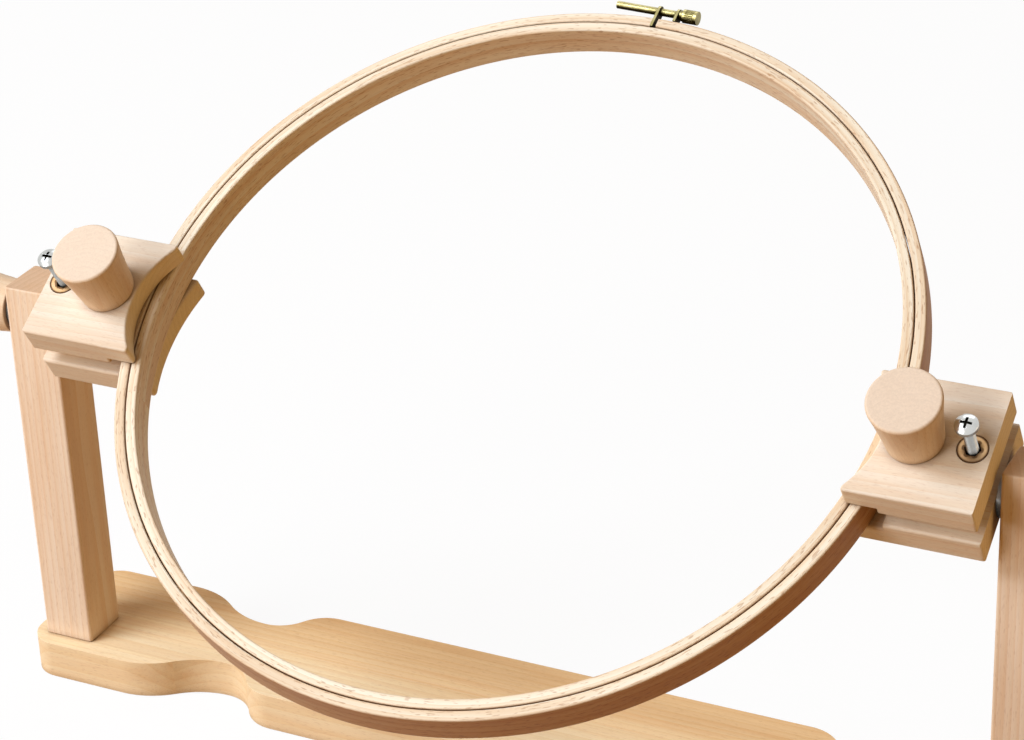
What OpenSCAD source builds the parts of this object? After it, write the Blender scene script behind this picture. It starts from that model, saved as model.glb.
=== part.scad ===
// Embroidery stand: a shaped base board, two square posts and two tilting wooden clamps
// that hold a round two-ring hoop at its left and right edge.
// Millimetres. x runs along the clamps' pivot axis, y away from the sitter, z up.
// The origin is the middle of the base board's underside.

/* [Base board] */
// Wood left between each post and the end of the board
board_end = 6.7; // [4:0.1:40]
// Width of the board's middle and ends
board_w = 71; // [60:1:100]
// Thickness of the board
board_t = 18; // [14:0.5:24]
// How far the board's middle line lies behind the pivot axis
board_back = 15; // [0:0.5:20]
// Distance from each post to the board's waist beside it
waist_gap = 68.3; // [60:0.1:90]
// Depth of the waist on each side of the board
waist_d = 17; // [8:0.5:22]
// Length of a waist's slope towards the middle of the board
waist_in = 31; // [24:1:40]
// Length of a waist's slope towards the end of the board
waist_out = 48; // [30:1:56]
// Radius of the board's outer corners
board_corner = 14; // [4:0.5:20]

/* [Posts] */
// Side of the square post
post_w = 25; // [20:0.5:30]
// Height of the pivot axis above the board's top
pivot_rise = 166; // [160:1:200]
// Wood left above the pivot axis
post_top = 15.5; // [12:0.5:25]
// Radius of the post's long edges
post_edge = 1.5; // [0.5:0.25:3]

/* [Hoop] */
// Outer radius of the hoop
hoop_r = 175; // [165:1:178]
// Height of both rings
hoop_h = 16; // [12:0.5:20]
// Thickness of each ring
ring_t = 4.7; // [3.5:0.1:6]
// Gap between the two rings, where the cloth goes
ring_gap = 0.4; // [0.3:0.1:1]
// Tilt of the hoop at rest, near edge down
tilt = 31.6; // [0:0.1:60]
// How far the hoop's centre lies beyond the pivot axis
hoop_off = 16; // [0:1:20]

/* [Clamps] */
// Length of a jaw along the pivot axis
jaw_l = 53.4; // [48:0.2:64]
// Width of a jaw
jaw_w = 56.5; // [46:0.5:70]
// Thickness of a jaw
jaw_t = 14; // [12:0.5:18]
// Depth of the rebate that takes the hoop's edge
rebate = 3.3; // [2:0.1:4]
// Width of that rebate, from the jaw's inner corner to its shoulder
rebate_w = 13.1; // [11:0.1:16]
// Depth of the hollow in the upper jaw's inner end
hollow = 8.7; // [4:0.1:10]
// Depth of the hollow in the lower jaw's inner end
lower_hollow = 3.6; // [3:0.1:10]
// Flat left at each corner beside both hollows
hollow_land = 2.2; // [1:0.1:4]
// Play between the hoop and the rebate's shoulder
shoulder_play = 0.4; // [0.3:0.1:1]
// Play between the hoop's flat faces and each jaw
jaw_play = 0.1; // [0.05:0.05:0.3]
// Play between jaw and post on each side of the pivot washer
washer_play = 0.3; // [0.1:0.05:0.5]

/* [Knobs] */
// Radius at the knob's outer end
knob_r = 15.2; // [13:0.1:18]
// Radius where the knob meets the jaw or the post
knob_base_r = 12; // [9:0.1:13]
// Length of the knob
knob_h = 28.4; // [24:0.2:36]
// Distance from the jaw's middle to the knob's axis, towards the hoop
knob_shift = 4.6; // [2:0.1:6]
// Radius of the knob's end edge
knob_edge = 1; // [0.3:0.1:2]

/* [Bolts and screws] */
// Radius of the clamp bolts and pivot studs
bolt_r = 3; // [2.5:0.25:4]
// Length of bolt that a knob takes in
bolt_grip = 18; // [14:0.5:20]
// Radius of the clamp bolt's round head
bolt_head_r = 7; // [6:0.25:8]
// Height of the clamp bolt's round head
bolt_head_h = 3.4; // [2.5:0.1:4]
// Radius of the levelling screw
level_r = 2.5; // [2:0.25:3]
// Length of the levelling screw under its head
level_l = 40; // [36:1:50]
// Radius of the levelling screw's head
level_head_r = 4.8; // [4:0.1:5.5]
// Height of the levelling screw's head
level_head_h = 3.3; // [3:0.1:4.5]
// Distance from the jaw's outer end to the levelling screw
level_in = 8; // [7:0.1:10]
// Radius of the wood screws under the posts
wood_screw_r = 2.2; // [1.5:0.1:2.6]
// Length of the wood screws under the posts
wood_screw_l = 45; // [35:1:60]
// Distance between the two wood screws under a post
wood_screw_gap = 12; // [10:0.5:14]
// Outer radius of a pivot washer
washer_r = 10; // [8:0.5:12]
// Thickness of a pivot washer
washer_t = 2; // [1:0.1:2.5]
// Radial running clearance of turning parts
run_fit = 0.06; // [0.02:0.01:0.1]
// Radial clearance of parts that are fixed in wood
seat_fit = 0.05; // [0.03:0.01:0.1]

/* [Brass fittings] */
// Outer radius of the threaded sleeves in jaws and knobs
sleeve_r = 4.4; // [4.2:0.1:5]
// Length of those sleeves
sleeve_l = 15; // [10:0.5:16]
// Radius of the levelling insert's flange
flange_r = 6.3; // [5.8:0.1:6.8]
// Thickness of that flange
flange_t = 1.2; // [0.8:0.1:2]
// Radius of the levelling insert's body
insert_r = 4.6; // [4.2:0.1:5.2]
// Length of the levelling insert
insert_l = 11; // [9:0.5:12]
// Angle of the hoop's closing screw round the hoop, from the right clamp
lug_angle = 87.1; // [75:0.1:105]
// Distance from the hoop's outer face to the closing screw
lug_out = 5.2; // [4.6:0.1:8]
// Distance of the closing screw below the hoop's upper rim
close_drop = 2.6; // [2.4:0.1:5]
// Thickness of the two lug plates
lug_t = 1.2; // [0.8:0.1:1.6]
// Distance of each lug from the middle of the closing
lug_half = 5.2; // [4.6:0.1:8]
// Thickness of the strip that holds a lug to the ring
strip_t = 0.8; // [0.5:0.1:1.2]
// Length of that strip along the ring
strip_l = 12; // [8:0.5:16]
// Width of that strip
strip_w = 10; // [7:0.5:10]
// Distance of both strips below the hoop's upper rim
strip_drop = 2; // [1:0.1:2]
// Radius of the closing screw
close_r = 1.75; // [1.25:0.05:1.9]
// Length of the closing screw's thread
close_l = 31; // [24:0.5:40]
// Radius of its round head
close_head_r = 3.1; // [2.5:0.1:3.6]
// Length of its round head
close_head_l = 6.8; // [5:0.1:9]
// Length of the narrow neck under that head
close_neck = 1.6; // [0.5:0.1:3]
// Width of the slit in the outer ring beside the first lug
slit = 1.6; // [0.5:0.1:2.6]

/* [Hidden] */
$fn = 96;
eps = 0.01;
over = 1;                                   // how far a cut runs past the face it opens
rod_play = 0.3;                             // a bolt's radial play in the hole it slides through
inner_ring_r = hoop_r - ring_t - ring_gap;  // outer radius of the inner ring
shoulder_x = hoop_r + shoulder_play;        // the rebate's shoulder, from the middle of the stand
jaw_in = shoulder_x - rebate_w;             // the jaw's inner corners
jaw_out = jaw_in + jaw_l;                   // the jaw's outer end
post_in = jaw_out + washer_t + 2 * washer_play;
post_out = post_in + post_w;
board_l = 2 * (post_out + board_end);
waist_x = post_in - waist_gap;
pivot_z = board_t + pivot_rise;
slot_floor = jaw_t / 2 - rebate;            // where the hoop lies, above the pivot axis
hoop_z = slot_floor + jaw_play;             // underside of both rings
upper_z = hoop_z + hoop_h + jaw_play - rebate;
upper_top = upper_z + jaw_t;
knob_x = (jaw_in + jaw_out) / 2 - knob_shift;
level_x = jaw_out - level_in;
hollow_h = jaw_w / 2 - hollow_land;
bolt_head_z = -jaw_t / 2;
close_z = hoop_h - close_drop;
lug_eye = close_drop;                       // radius of the metal round the closing screw
strip_low = hoop_h - strip_drop - strip_w;  // lower edge of the lugs' strips, above the rings' underside
washer_out_x = post_out + washer_play;
pivot_knob_x = washer_out_x + washer_t + washer_play;
screw_cone = 2.2;                           // height of a wood screw's countersunk head
screw_head_r = 2 * wood_screw_r;
stud_in = sleeve_l - 2;                     // how far a stud goes into its sleeve

// Places: one side of the stand, the tilting clamp, the hoop and its closing
module side(s) { mirror([s < 0 ? 1 : 0, 0, 0]) children(); }
module tilted() { translate([0, 0, pivot_z]) rotate([tilt, 0, 0]) children(); }
module hoop_place() { tilted() translate([0, hoop_off, hoop_z]) children(); }
module closing_place() { hoop_place() rotate([0, 0, lug_angle]) children(); }

// Square with rounded corners, exact arcs
module round_square(w, h, r) {
    square([w - 2 * r, h], center = true);
    square([w, h - 2 * r], center = true);
    for (x = [-1, 1], y = [-1, 1]) translate([x * (w / 2 - r), y * (h / 2 - r)]) circle(r);
}

// Points of a waist's slope, from the board's edge at [-run, 0] down to [0, -waist_d], along two equal arcs
function slope_points(run, n = 14) =
    let (r = (run * run + waist_d * waist_d) / (4 * waist_d), turn = 2 * atan(waist_d / run))
    concat([for (k = [0 : n]) let (t = turn * k / n) [r * sin(t) - run, r * cos(t) - r]],
        [for (k = [n - 1 : -1 : 0]) let (t = turn * k / n) [-r * sin(t), r - waist_d - r * cos(t)]]);

// Board outline: a plank with a shallow waist on both sides near each end
module board_outline() {
    notch_in = slope_points(waist_in);
    notch_out = slope_points(waist_out);
    difference() {
        round_square(board_l, board_w, board_corner);
        for (x = [0, 1], y = [0, 1]) mirror([x, 0]) mirror([0, y]) translate([waist_x, board_w / 2])
            polygon(concat([[-waist_in, over]], notch_in,
                [for (k = [len(notch_out) - 2 : -1 : 0]) [-notch_out[k][0], notch_out[k][1]]],
                [[waist_out, over]]));
    }
}

module base_board() {
    color("burlywood") difference() {
        translate([0, board_back, 0]) linear_extrude(board_t) board_outline();
        for (s = [-1, 1]) side(s) screw_pair() {
            translate([0, 0, -over]) cylinder(r = wood_screw_r + seat_fit, h = board_t + 2 * over);
            translate([0, 0, -eps]) cylinder(r1 = screw_head_r + seat_fit + eps,
                r2 = wood_screw_r + seat_fit, h = screw_cone + eps);
        }
    }
}

module screw_pair() {
    for (y = [-1, 1]) translate([(post_in + post_out) / 2, y * wood_screw_gap / 2, 0]) children();
}

module post(s) {
    color("tan") side(s) difference() {
        translate([(post_in + post_out) / 2, 0, board_t]) linear_extrude(pivot_rise + post_top)
            round_square(post_w, post_w, post_edge);
        translate([post_in - over, 0, pivot_z]) rotate([0, 90, 0])
            cylinder(r = bolt_r + run_fit, h = post_w + 2 * over);
        screw_pair() translate([0, 0, board_t - over])
            cylinder(r = wood_screw_r + seat_fit, h = wood_screw_l - board_t + over + seat_fit);
    }
}

module post_screws(s) {
    color("silver") side(s) screw_pair() {
        cylinder(r1 = screw_head_r, r2 = wood_screw_r, h = screw_cone);
        cylinder(r = wood_screw_r, h = wood_screw_l);
    }
}

module washer() {
    rotate([0, 90, 0]) difference() {
        cylinder(r = washer_r, h = washer_t);
        translate([0, 0, -over]) cylinder(r = bolt_r + rod_play, h = washer_t + 2 * over);
    }
}

module pivot_washers(s) {
    color("silver") side(s) translate([0, 0, pivot_z]) {
        translate([jaw_out + washer_play, 0, 0]) washer();
        translate([washer_out_x, 0, 0]) washer();
    }
}

// Plan of a jaw: square outer end, hollowed inner end that clears the cloth
module jaw_plan(deep) {
    hollow_r = (hollow_h * hollow_h + deep * deep) / (2 * deep);
    difference() {
        translate([jaw_in, -jaw_w / 2]) square([jaw_l, jaw_w]);
        translate([jaw_in + deep - hollow_r, 0]) circle(hollow_r, $fn = 180);
    }
}

module lower_jaw(s) {
    color("burlywood") tilted() side(s) difference() {
        translate([0, 0, -jaw_t / 2]) linear_extrude(jaw_t) jaw_plan(lower_hollow);
        translate([jaw_in - over, -jaw_w / 2 - over, slot_floor])
            cube([rebate_w + over, jaw_w + 2 * over, rebate + over]);
        translate([knob_x, 0, -jaw_t / 2 - over]) cylinder(r = bolt_r + seat_fit, h = jaw_t + 2 * over);
        translate([knob_x, 0, bolt_head_z - over])
            cylinder(r = bolt_head_r + seat_fit, h = bolt_head_h + over + seat_fit);
        translate([jaw_out - sleeve_l - seat_fit, 0, 0]) rotate([0, 90, 0])
            cylinder(r = sleeve_r + seat_fit, h = sleeve_l + over);
    }
}

// Threaded sleeve, its axis along z
module sleeve() {
    difference() {
        cylinder(r = sleeve_r, h = sleeve_l);
        translate([0, 0, -over]) cylinder(r = bolt_r + run_fit, h = sleeve_l + 2 * over);
    }
}

module pivot_sleeve(s) {
    color("gold") tilted() side(s) translate([jaw_out - sleeve_l, 0, 0]) rotate([0, 90, 0]) sleeve();
}

module pivot_stud(s) {
    color("silver") tilted() side(s) translate([jaw_out - stud_in, 0, 0]) rotate([0, 90, 0])
        cylinder(r = bolt_r, h = pivot_knob_x + bolt_grip - (jaw_out - stud_in));
}

module clamp_bolt(s) {
    color("silver") tilted() side(s) translate([knob_x, 0, bolt_head_z]) {
        cylinder(r = bolt_head_r, h = bolt_head_h);
        cylinder(r = bolt_r, h = upper_top + jaw_play + bolt_grip - bolt_head_z);
    }
}

module upper_jaw(s) {
    color("wheat") tilted() side(s) difference() {
        translate([0, 0, upper_z]) linear_extrude(jaw_t) jaw_plan(hollow);
        translate([jaw_in - over, -jaw_w / 2 - over, upper_z - over])
            cube([rebate_w + over, jaw_w + 2 * over, rebate + over]);
        translate([knob_x, 0, upper_z - over]) cylinder(r = bolt_r + rod_play, h = jaw_t + 2 * over);
        translate([level_x, 0, upper_z - over]) cylinder(r = insert_r + seat_fit, h = jaw_t + 2 * over);
        translate([level_x, 0, upper_top - flange_t - seat_fit])
            cylinder(r = flange_r + 2 * seat_fit, h = flange_t + over);
    }
}

// Flanged insert that the levelling screw runs in, with a hexagon mouth
module level_insert(s) {
    mouth = insert_l / 3;
    color("gold") tilted() side(s) translate([level_x, 0, upper_top]) difference() {
        union() {
            translate([0, 0, -flange_t]) cylinder(r = flange_r, h = flange_t);
            translate([0, 0, -insert_l]) cylinder(r = insert_r, h = insert_l);
        }
        translate([0, 0, -insert_l - over]) cylinder(r = level_r + run_fit, h = insert_l + 2 * over);
        translate([0, 0, -mouth]) cylinder(r = (level_r + insert_r) / 2, h = mouth + over, $fn = 6);
    }
}

// Pan-head screw whose tip bears on the lower jaw
module level_screw(s) {
    tip_z = jaw_t / 2 + jaw_play;
    slot_w = level_head_r / 4.4;
    slot_d = level_head_h / 2;
    wall_h = level_head_h / 2;
    dome_r = (level_head_r * level_head_r + wall_h * wall_h) / (2 * wall_h);
    color("silver") tilted() side(s) translate([level_x, 0, tip_z]) {
        cylinder(r = level_r, h = level_l);
        translate([0, 0, level_l]) difference() {
            rotate_extrude() {
                square([level_head_r, wall_h]);
                intersection() {
                    translate([0, level_head_h - dome_r]) circle(dome_r);
                    square([level_head_r, level_head_h]);
                }
            }
            for (turn = [0, 90]) rotate([0, 0, turn])
                translate([-level_head_r / 2, -slot_w / 2, level_head_h - slot_d])
                    cube([level_head_r, slot_w, slot_d + over]);
        }
    }
}

// Turned knob, its base at the origin and its end along +z
module knob() {
    difference() {
        rotate_extrude() {
            polygon([[0, 0], [knob_base_r, 0], [knob_r, knob_h - knob_edge], [0, knob_h - knob_edge]]);
            square([knob_r - knob_edge, knob_h]);
            translate([knob_r - knob_edge, knob_h - knob_edge]) circle(knob_edge, $fn = 48);
        }
        translate([0, 0, -over]) cylinder(r = sleeve_r + seat_fit, h = sleeve_l + over + seat_fit);
        translate([0, 0, -over]) cylinder(r = bolt_r + rod_play, h = bolt_grip + over + rod_play);
    }
}

module at_clamp_knob(s) {
    tilted() side(s) translate([knob_x, 0, upper_top + jaw_play]) children();
}
module at_pivot_knob(s) {
    tilted() side(s) translate([pivot_knob_x, 0, 0]) rotate([0, 90, 0]) children();
}
module clamp_knob(s) { color("tan") at_clamp_knob(s) knob(); }
module clamp_knob_sleeve(s) { color("gold") at_clamp_knob(s) sleeve(); }
module pivot_knob(s) { color("tan") at_pivot_knob(s) knob(); }
module pivot_knob_sleeve(s) { color("gold") at_pivot_knob(s) sleeve(); }

module ring(r) {
    difference() {
        cylinder(r = r, h = hoop_h, $fn = 360);
        translate([0, 0, -over]) cylinder(r = r - ring_t, h = hoop_h + 2 * over, $fn = 360);
    }
}

// Outer ring, slit beside the threaded lug and drilled for the rivets
module outer_ring() {
    color("burlywood") closing_place() difference() {
        ring(hoop_r);
        translate([hoop_r - 2 * ring_t, lug_half - lug_t - slit, -over])
            cube([3 * ring_t, lug_t + slit, hoop_h + 2 * over]);
        rivet_places() translate([0, 0, -rivet_deep - seat_fit])
            cylinder(r = rivet_r + seat_fit, h = ring_t);
    }
}

module inner_ring() { color("burlywood") hoop_place() ring(inner_ring_r); }

rivet_r = 0.9;                              // the small rivets that hold the lugs' strips
rivet_deep = ring_t * 0.6;
module rivet_places() {
    for (s = [-1, 1], k = [-1, 1])
        rotate([0, 0, s * (lug_half + strip_l * 0.62) * 180 / (PI * hoop_r)])
            translate([hoop_r, 0, strip_low + strip_w / 2 + k * strip_w / 4]) rotate([0, 90, 0])
                children();
}

// Strip that follows the ring's outer face, from one lug away from the slit
module strip(s) {
    intersection() {
        difference() {
            cylinder(r = hoop_r + seat_fit + strip_t, h = hoop_h, $fn = 360);
            translate([0, 0, -over]) cylinder(r = hoop_r + seat_fit, h = hoop_h + 2 * over, $fn = 360);
        }
        side_y(s) translate([hoop_r - ring_t, lug_half - lug_t, strip_low])
            cube([3 * ring_t, strip_l + lug_t, strip_w]);
    }
}
module side_y(s) { mirror([0, s < 0 ? 1 : 0, 0]) children(); }

// Narrow ear that carries the closing screw, as a flat plate drawn in the radial plane
module ear(inner) {
    translate([inner, close_z - lug_eye]) square([hoop_r + lug_out - inner, 2 * lug_eye]);
    translate([hoop_r + lug_out, close_z]) circle(lug_eye, $fn = 48);
}
module ear_plate() {
    rotate([90, 0, 0]) linear_extrude(lug_t) difference() {
        children();
        translate([hoop_r + lug_out, close_z]) circle(close_r + run_fit, $fn = 48);
    }
}

module threaded_lug() {
    color("goldenrod") closing_place() difference() {
        union() {
            translate([0, lug_half, 0]) ear_plate() {
                ear(hoop_r - ring_t);
                translate([hoop_r - ring_t, 0]) square([ring_t + strip_t, hoop_h]);
            }
            strip(1);
        }
        rivet_places() cylinder(r = rivet_r + seat_fit, h = 4 * strip_t, center = true);
    }
}

module plain_lug() {
    color("goldenrod") closing_place() difference() {
        union() {
            translate([0, -lug_half + lug_t, 0]) ear_plate() ear(hoop_r + seat_fit);
            strip(-1);
        }
        rivet_places() cylinder(r = rivet_r + seat_fit, h = 4 * strip_t, center = true);
    }
}

module lug_rivets() {
    head_r = 2 * rivet_r;
    head_t = strip_t * 0.75;
    color("goldenrod") closing_place() rivet_places() {
        translate([0, 0, -rivet_deep]) cylinder(r = rivet_r, h = rivet_deep + strip_t + head_t);
        translate([0, 0, strip_t + 2 * seat_fit]) cylinder(r = head_r, h = head_t);
    }
}

// Long thin screw with a round grooved head outside the plain lug
module closing_screw() {
    groove_n = 24;
    groove_r = close_head_r / 12;
    color("gold") closing_place() translate([hoop_r + lug_out, -lug_half - washer_play, close_z])
        rotate([-90, 0, 0]) {
            cylinder(r = close_r, h = close_l);
            translate([0, 0, -close_neck]) cylinder(r = (close_r + close_head_r) / 2, h = close_neck);
            translate([0, 0, -close_neck - close_head_l]) difference() {
                cylinder(r = close_head_r, h = close_head_l);
                for (k = [0 : groove_n - 1]) rotate([0, 0, k * 360 / groove_n])
                    translate([close_head_r, 0, close_head_l / 5])
                        cylinder(r = groove_r, h = close_head_l * 0.6, $fn = 16);
            }
        }
}

base_board();
post(-1);  // post_left
post(1);  // post_right
post_screws(-1);  // post_screws_left
post_screws(1);  // post_screws_right
pivot_washers(-1);  // pivot_washers_left
pivot_washers(1);  // pivot_washers_right
lower_jaw(-1);  // lower_jaw_left
lower_jaw(1);  // lower_jaw_right
pivot_sleeve(-1);  // pivot_sleeve_left
pivot_sleeve(1);  // pivot_sleeve_right
pivot_stud(-1);  // pivot_stud_left
pivot_stud(1);  // pivot_stud_right
clamp_bolt(-1);  // clamp_bolt_left
clamp_bolt(1);  // clamp_bolt_right
upper_jaw(-1);  // upper_jaw_left
upper_jaw(1);  // upper_jaw_right
level_insert(-1);  // level_insert_left
level_insert(1);  // level_insert_right
level_screw(-1);  // level_screw_left
level_screw(1);  // level_screw_right
clamp_knob(-1);  // clamp_knob_left
clamp_knob(1);  // clamp_knob_right
clamp_knob_sleeve(-1);  // clamp_knob_sleeve_left
clamp_knob_sleeve(1);  // clamp_knob_sleeve_right
pivot_knob(-1);  // pivot_knob_left
pivot_knob(1);  // pivot_knob_right
pivot_knob_sleeve(-1);  // pivot_knob_sleeve_left
pivot_knob_sleeve(1);  // pivot_knob_sleeve_right
outer_ring();
inner_ring();
threaded_lug();
plain_lug();
lug_rivets();
closing_screw();
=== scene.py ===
# Embroidery stand in beech: waisted board, two square posts, tilting screw clamps and a two-ring hoop.
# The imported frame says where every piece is; this file gives each one its softened edges, wood or metal.
import bpy
import bmesh
import math
from mathutils import Matrix, Vector


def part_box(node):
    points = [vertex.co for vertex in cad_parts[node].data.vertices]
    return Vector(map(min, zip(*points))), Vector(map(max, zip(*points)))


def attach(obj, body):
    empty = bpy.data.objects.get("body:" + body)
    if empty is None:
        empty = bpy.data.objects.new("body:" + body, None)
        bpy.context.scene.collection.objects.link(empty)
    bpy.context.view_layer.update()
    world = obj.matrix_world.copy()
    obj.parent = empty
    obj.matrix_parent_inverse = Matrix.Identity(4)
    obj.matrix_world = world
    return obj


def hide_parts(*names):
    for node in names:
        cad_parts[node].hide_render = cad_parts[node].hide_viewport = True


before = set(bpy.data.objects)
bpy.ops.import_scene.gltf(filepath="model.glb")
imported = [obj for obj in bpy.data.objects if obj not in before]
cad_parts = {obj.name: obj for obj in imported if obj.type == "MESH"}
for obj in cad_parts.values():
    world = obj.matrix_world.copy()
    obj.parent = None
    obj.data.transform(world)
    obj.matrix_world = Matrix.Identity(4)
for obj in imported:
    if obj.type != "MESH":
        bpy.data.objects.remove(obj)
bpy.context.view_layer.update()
print("frame loaded,", len(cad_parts), "nodes")

mm = 0.001
# degrees and mm, as in the part
stand = {"tilt": 31.6, "pivotHeight": 184, "hoopOffset": 16, "hoopBottom": 3.8, "hoopHeight": 16}
clampFrame = (Matrix.Translation((0, 0, stand["pivotHeight"] * mm))
              @ Matrix.Rotation(math.radians(stand["tilt"]), 4, "X"))
hoopFrame = clampFrame @ Matrix.Translation((0, stand["hoopOffset"] * mm, stand["hoopBottom"] * mm))
sides = {"left": -1, "right": 1}


def hexToLinear(code):
    channels = [int(code[i:i + 2], 16) / 255 for i in (1, 3, 5)]
    return [c / 12.92 if c <= 0.04045 else ((c + 0.055) / 1.055) ** 2.4 for c in channels] + [1.0]


def addNode(tree, kind, settings={}, inputs={}, stops=()):
    node = tree.nodes.new("ShaderNode" + kind)
    for name, value in settings.items():
        setattr(node, name, value)
    for key, value in inputs.items():
        if isinstance(value, bpy.types.NodeSocket):
            tree.links.new(value, node.inputs[key])
        else:
            node.inputs[key].default_value = value
    for index, (place, colour) in enumerate(stops):     # a colour ramp's stops
        element = node.color_ramp.elements[index] if index < 2 else node.color_ramp.elements.new(place)
        element.position = place
        element.color = hexToLinear(colour)
    return node


def newMaterial(name):
    material = bpy.data.materials.new(name)
    material.use_nodes = True
    material.node_tree.nodes.clear()
    return material, material.node_tree


def scaleFor(width):
    # how many marks of this width, in mm, go into a metre, which is what a texture's scale counts
    return 1 / (width * mm)


blend = {"data_type": "RGBA", "blend_type": "MIX"}
multiply = {"data_type": "RGBA", "blend_type": "MULTIPLY"}

# What every piece of beech shares, in mm. A mark's width is across the fibres; a stretch of 0.1 draws it out
# to ten times that along them.
figure = {
    "staveShift": (2.0, 0.05, 0.05),            # metres between two staves' places in the tree
    "wanderWidth": 45.45, "wanderStretch": 0.12,
    "wavePeriod": 314, "ringDistortion": 0.6, "midPlace": 0.62,     # a wave at scale 1 repeats every 314 mm
    "streakWidth": 5.882, "streakStretch": 0.45, "streakSpan": (0.42, 0.72),
    "fleckStretch": 0.17, "fleckSpan": (0.60, 0.72),
    "fibreWidth": 0.5, "fibreStretch": 0.03, "fibreShade": (0.965, 1.02),
    "patchWidth": 33.33, "patchShade": (0.96, 1.03),
    "poreWidth": 0.8, "poreSpan": (0.35, 0.65), "poreShade": (0.955, 1.03),
    "noiseSpan": (0.3, 0.7),                    # what a soft noise's values mostly lie between
    "earlyEndShade": 1.02, "endRoughness": 0.12, "fibreRoughness": 0.05,
    "edgeReach": 0.9, "edgeSpan": (0.99, 0.85), "creaseReach": 6, "creaseSpan": (0.25, 0.85),
    "fibreHeight": 0.5, "ringHeight": 0.35, "bump": 0.16, "bumpDepth": 0.1}


# Wood. The "grain" attribute holds each point in the wood's own metres: x runs along the fibres.
def makeBeech(name, look):
    material, tree = newMaterial(name)
    grain = addNode(tree, "Attribute", {"attribute_name": "grain"}).outputs["Vector"]
    endFace = addNode(tree, "Attribute", {"attribute_name": "endFace"}).outputs["Fac"]

    # every stave of a glued board is its own piece of the tree, so its grain starts elsewhere
    across = addNode(tree, "SeparateXYZ", {}, {0: grain}).outputs["Y"]
    stavePlace = addNode(tree, "Math", {"operation": "MULTIPLY_ADD"}, {
        0: across, 1: 1 / (look["staveWidth"] * mm), 2: -look["staveEdge"] / look["staveWidth"]}).outputs[0]
    staveNumber = addNode(tree, "Math", {"operation": "FLOOR"}, {0: stavePlace}).outputs[0]
    staveRandom = addNode(tree, "TexWhiteNoise", {"noise_dimensions": "1D"}, {"W": staveNumber})
    moved = addNode(tree, "VectorMath", {"operation": "MULTIPLY_ADD"}, {
        0: staveRandom.outputs["Color"], 1: figure["staveShift"], 2: grain}).outputs[0]

    # slow wander of the fibres
    alongFibres = addNode(tree, "VectorMath", {"operation": "MULTIPLY"}, {
        0: moved, 1: (figure["wanderStretch"], 1, 1)}).outputs[0]
    wander = addNode(tree, "TexNoise", {}, {
        "Vector": alongFibres, "Scale": scaleFor(figure["wanderWidth"]), "Detail": 2.0})
    wandered = addNode(tree, "VectorMath", {"operation": "MULTIPLY_ADD"}, {
        0: wander.outputs["Color"], 1: (0, look["wander"] * mm, look["wander"] * mm),
        2: alongFibres}).outputs[0]

    # year rings round a heart that lies outside the piece
    fromHeart = addNode(tree, "VectorMath", {"operation": "SUBTRACT"}, {
        0: wandered, 1: [0] + [h * mm for h in look["heart"]]}).outputs[0]
    rings = addNode(tree, "TexWave", {
        "wave_type": "RINGS", "rings_direction": "X", "wave_profile": "SAW"}, {
        "Vector": fromHeart, "Scale": figure["wavePeriod"] * mm * scaleFor(look["ringWidth"]),
        "Distortion": figure["ringDistortion"], "Detail": 2.0, "Detail Scale": 0.4}).outputs["Fac"]
    ringTone = addNode(tree, "ValToRGB", {}, {0: rings}, [
        (0.0, look["earlyWood"]), (1.0, look["lateWood"]), (figure["midPlace"], look["midWood"])]).outputs[0]

    # soft pinkish streaks, a hand long
    streakPlace = addNode(tree, "VectorMath", {"operation": "MULTIPLY"}, {
        0: wandered, 1: (figure["streakStretch"], 1, 1)}).outputs[0]
    streaks = addNode(tree, "TexNoise", {}, {
        "Vector": streakPlace, "Scale": scaleFor(figure["streakWidth"]),
        "Detail": 3.0, "Roughness": 0.55}).outputs["Fac"]
    streakAmount = addNode(tree, "MapRange", {}, {
        "Value": streaks, "From Min": figure["streakSpan"][0], "From Max": figure["streakSpan"][1],
        "To Min": 0.0, "To Max": look["streakStrength"]}).outputs[0]
    streaked = addNode(tree, "Mix", multiply, {
        "Factor": streakAmount, "A": ringTone, "B": hexToLinear(look["streakTint"])}).outputs[2]

    # ray flecks: 3 mm long dashes, half a millimetre wide, which is a little coarser than the real ones
    fleckPlace = addNode(tree, "VectorMath", {"operation": "MULTIPLY"}, {
        0: moved, 1: (figure["fleckStretch"], 1, 1)}).outputs[0]
    flecks = addNode(tree, "TexNoise", {}, {
        "Vector": fleckPlace, "Scale": scaleFor(look["fleckWidth"]),
        "Detail": 1.0, "Roughness": 0.3}).outputs["Fac"]
    fleckAmount = addNode(tree, "MapRange", {}, {
        "Value": flecks, "From Min": figure["fleckSpan"][0], "From Max": figure["fleckSpan"][1],
        "To Min": 0.0, "To Max": look["fleckStrength"]}).outputs[0]
    flecked = addNode(tree, "Mix", multiply, {
        "Factor": fleckAmount, "A": streaked, "B": hexToLinear(look["fleckTint"])}).outputs[2]

    # fibres, seen mostly as a faint silkiness; half a millimetre apart, far coarser than real ones, to show
    fibrePlace = addNode(tree, "VectorMath", {"operation": "MULTIPLY"}, {
        0: moved, 1: (figure["fibreStretch"], 1, 1)}).outputs[0]
    fibres = addNode(tree, "TexNoise", {}, {
        "Vector": fibrePlace, "Scale": scaleFor(figure["fibreWidth"]),
        "Detail": 2.0, "Roughness": 0.6}).outputs["Fac"]
    noiseLow, noiseHigh = figure["noiseSpan"]
    fibreShade = addNode(tree, "MapRange", {}, {
        "Value": fibres, "From Min": noiseLow, "From Max": noiseHigh,
        "To Min": figure["fibreShade"][0], "To Max": figure["fibreShade"][1]}).outputs[0]
    fibred = addNode(tree, "VectorMath", {"operation": "SCALE"}, {
        0: flecked, "Scale": fibreShade}).outputs[0]

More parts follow.
